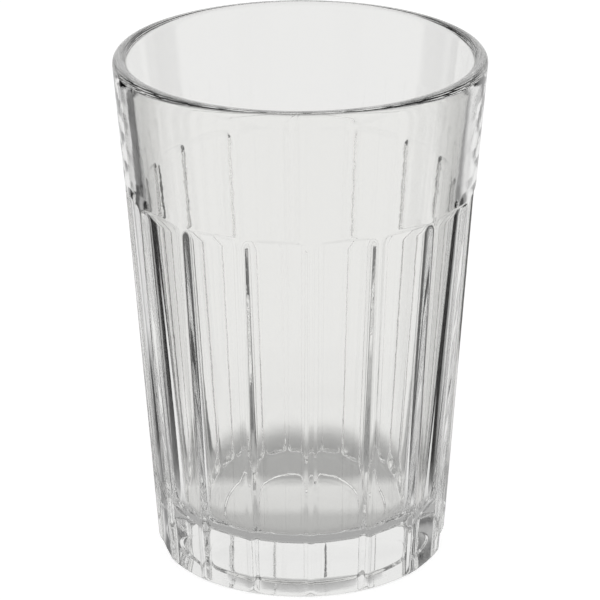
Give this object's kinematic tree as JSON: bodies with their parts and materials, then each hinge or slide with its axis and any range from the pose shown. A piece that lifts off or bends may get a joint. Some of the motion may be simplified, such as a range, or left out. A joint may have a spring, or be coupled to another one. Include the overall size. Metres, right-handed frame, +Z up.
{
  "type": "fluted drinking glass",
  "caption": "Tapered pressed-glass tumbler with a smooth band at the lip, shallow flutes down the body and a thick solid base; holds a drink.",
  "frame": {"origin": "centre of the foot, on the surface that the glass stands on", "axes": "+Z up along the axis of the glass to the rim; -Y is the front, and one ridge between two flutes faces it"},
  "size_m": [0.0774, 0.0774, 0.11],
  "materials": {
    "clear_glass": "clear, fire-polished, with a faint green-grey edge"
  },
  "bodies": {
    "root": {"tumbler": "clear_glass"}
  },
  "joints": []
}
